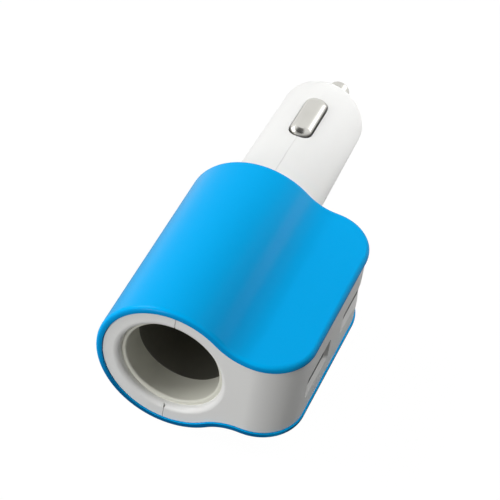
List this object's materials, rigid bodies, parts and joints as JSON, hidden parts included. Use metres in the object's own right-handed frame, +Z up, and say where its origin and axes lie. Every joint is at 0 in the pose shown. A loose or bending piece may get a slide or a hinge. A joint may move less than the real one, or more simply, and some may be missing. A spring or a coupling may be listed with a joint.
{
  "type": "car usb charger plug with lighter socket",
  "caption": "Plug-in adaptor for a car's lighter socket, with a pass-through lighter socket in its front and usb charging ports in its narrow side.",
  "frame": {"origin": "on the plug's axis, in the plane of the cover's back edge, where the plug leaves the body", "axes": "+Y along the plug to its tip, +X to the narrow side with the usb ports, +Z up"},
  "size_m": [0.0444, 0.1018, 0.0334],
  "materials": {
    "white_abs": "satin",
    "blue_cover": "gloss",
    "barrel_steel": "satin",
    "black_phenolic": "matte",
    "brass": "satin",
    "nickel": "polished",
    "spring_steel": "satin",
    "board_green": "satin",
    "port_steel": "satin",
    "port_white": "satin",
    "gold_contact": "polished",
    "ferrite": "matte",
    "copper": "gloss",
    "capacitor_sleeve": "gloss",
    "chip_black": "matte",
    "wire_red": "satin",
    "wire_black": "satin"
  },
  "bodies": {
    "body": {"shell_left": "white_abs", "shell_right": "white_abs", "wrap_cover": "blue_cover", "socket_sleeve": "white_abs", "socket_barrel": "barrel_steel", "socket_disc": "black_phenolic", "socket_contact": "brass", "tip_spring": "spring_steel", "spring_seat": "brass", "spring_tube": "white_abs", "ground_spring": "spring_steel", "circuit_board": "board_green", "usb_shell_front": "port_steel", "usb_shell_rear": "port_steel", "usb_tongue_front": "port_white", "usb_tongue_rear": "port_white", "usb_pins_front": "gold_contact", "usb_pins_rear": "gold_contact", "inductor_core": "ferrite", "inductor_winding": "copper", "input_capacitor": "capacitor_sleeve", "output_capacitor": "capacitor_sleeve", "regulator_chip": "chip_black", "diode": "chip_black", "positive_wire": "wire_red", "ground_wire": "wire_black", "socket_wire": "wire_red", "barrel_wire": "wire_black"},
    "tip": {"tip_pin": "nickel"},
    "contact_top": {"side_contact_top": "nickel"},
    "contact_bottom": {"side_contact_bottom": "nickel"}
  },
  "joints": [
    {"name": "tip_slide", "type": "slide", "parent": "body", "child": "tip", "axis": [0, -1, 0], "range_m": [0, 0.0035], "stiffness_N_per_m": 500, "springref_m": -0.006, "deforming": ["tip_spring"]},
    {"name": "contact_top_slide", "type": "slide", "parent": "body", "child": "contact_top", "axis": [0, 0, -1], "range_m": [0, 0.0016], "stiffness_N_per_m": 600, "springref_m": -0.004, "deforming": ["ground_spring"]},
    {"name": "contact_bottom_slide", "type": "slide", "parent": "body", "child": "contact_bottom", "axis": [0, 0, 1], "range_m": [0, 0.0016], "stiffness_N_per_m": 600, "springref_m": -0.004, "deforming": ["ground_spring"]}
  ]
}
